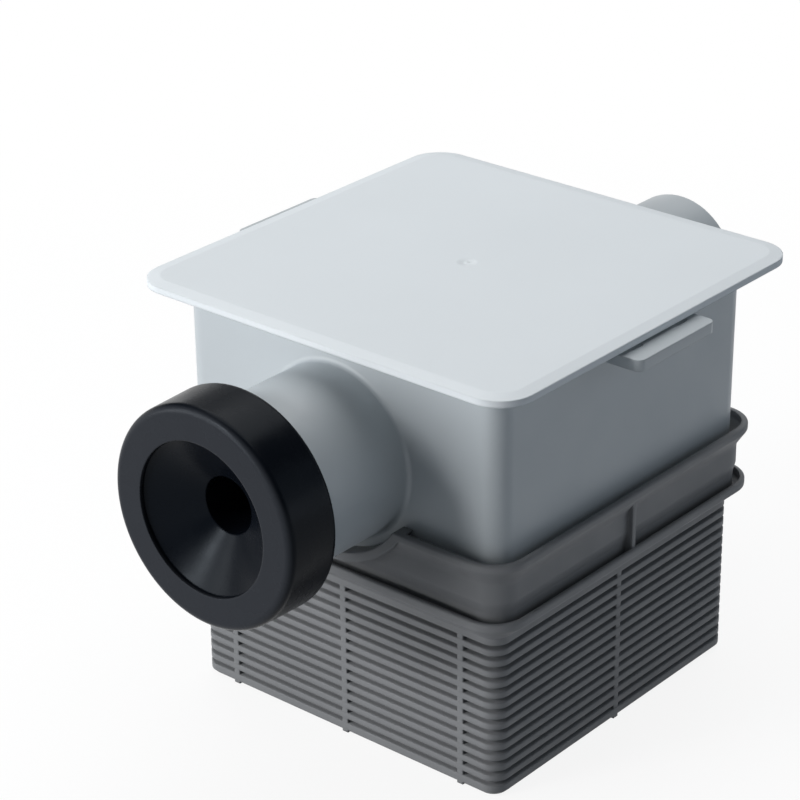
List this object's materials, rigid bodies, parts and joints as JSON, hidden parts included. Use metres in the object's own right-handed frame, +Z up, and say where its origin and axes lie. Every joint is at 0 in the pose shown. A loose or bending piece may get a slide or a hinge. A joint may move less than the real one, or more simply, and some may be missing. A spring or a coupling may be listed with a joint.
{
  "type": "recessed floor trap",
  "caption": "Built-in drain trap: grey box with inlet and outlet spigots, rubber inlet seal, lift-off white cover, ribbed guard hood and a removable water-seal insert with a float ball.",
  "frame": {"origin": "middle of the underside of the guard hood, under the centre of the box", "axes": "+Z up through the cover, -Y out of the inlet seal, +Y out of the outlet spigot, X across the two fixing lugs"},
  "size_m": [0.1144, 0.1704, 0.1008],
  "materials": {
    "cover_white": "satin moulded white plastic",
    "body_grey": "satin moulded light grey plastic",
    "seal_rubber": "smooth black rubber",
    "hood_grey": "matt moulded dark grey plastic",
    "insert_plastic": "natural moulded plastic",
    "ball_plastic": "smooth moulded plastic"
  },
  "bodies": {
    "trap": {"trap_body": "body_grey", "guard_hood": "hood_grey", "inlet_seal": "seal_rubber", "cassette_tray": "insert_plastic", "cassette_lid": "insert_plastic", "lid_gasket": "seal_rubber", "inlet_port_ring": "seal_rubber", "outlet_port_ring": "seal_rubber", "ball_seat": "seal_rubber"},
    "cover": {"cover_plate": "cover_white"},
    "ball": {"float_ball": "ball_plastic"}
  },
  "joints": [
    {"name": "cover_lift", "type": "slide", "parent": "trap", "child": "cover", "axis": [0, 0, 1], "range_m": [0, 0.06]},
    {"name": "ball_float", "type": "slide", "parent": "trap", "child": "ball", "axis": [0, -1, 0], "range_m": [0, 0.01]}
  ]
}
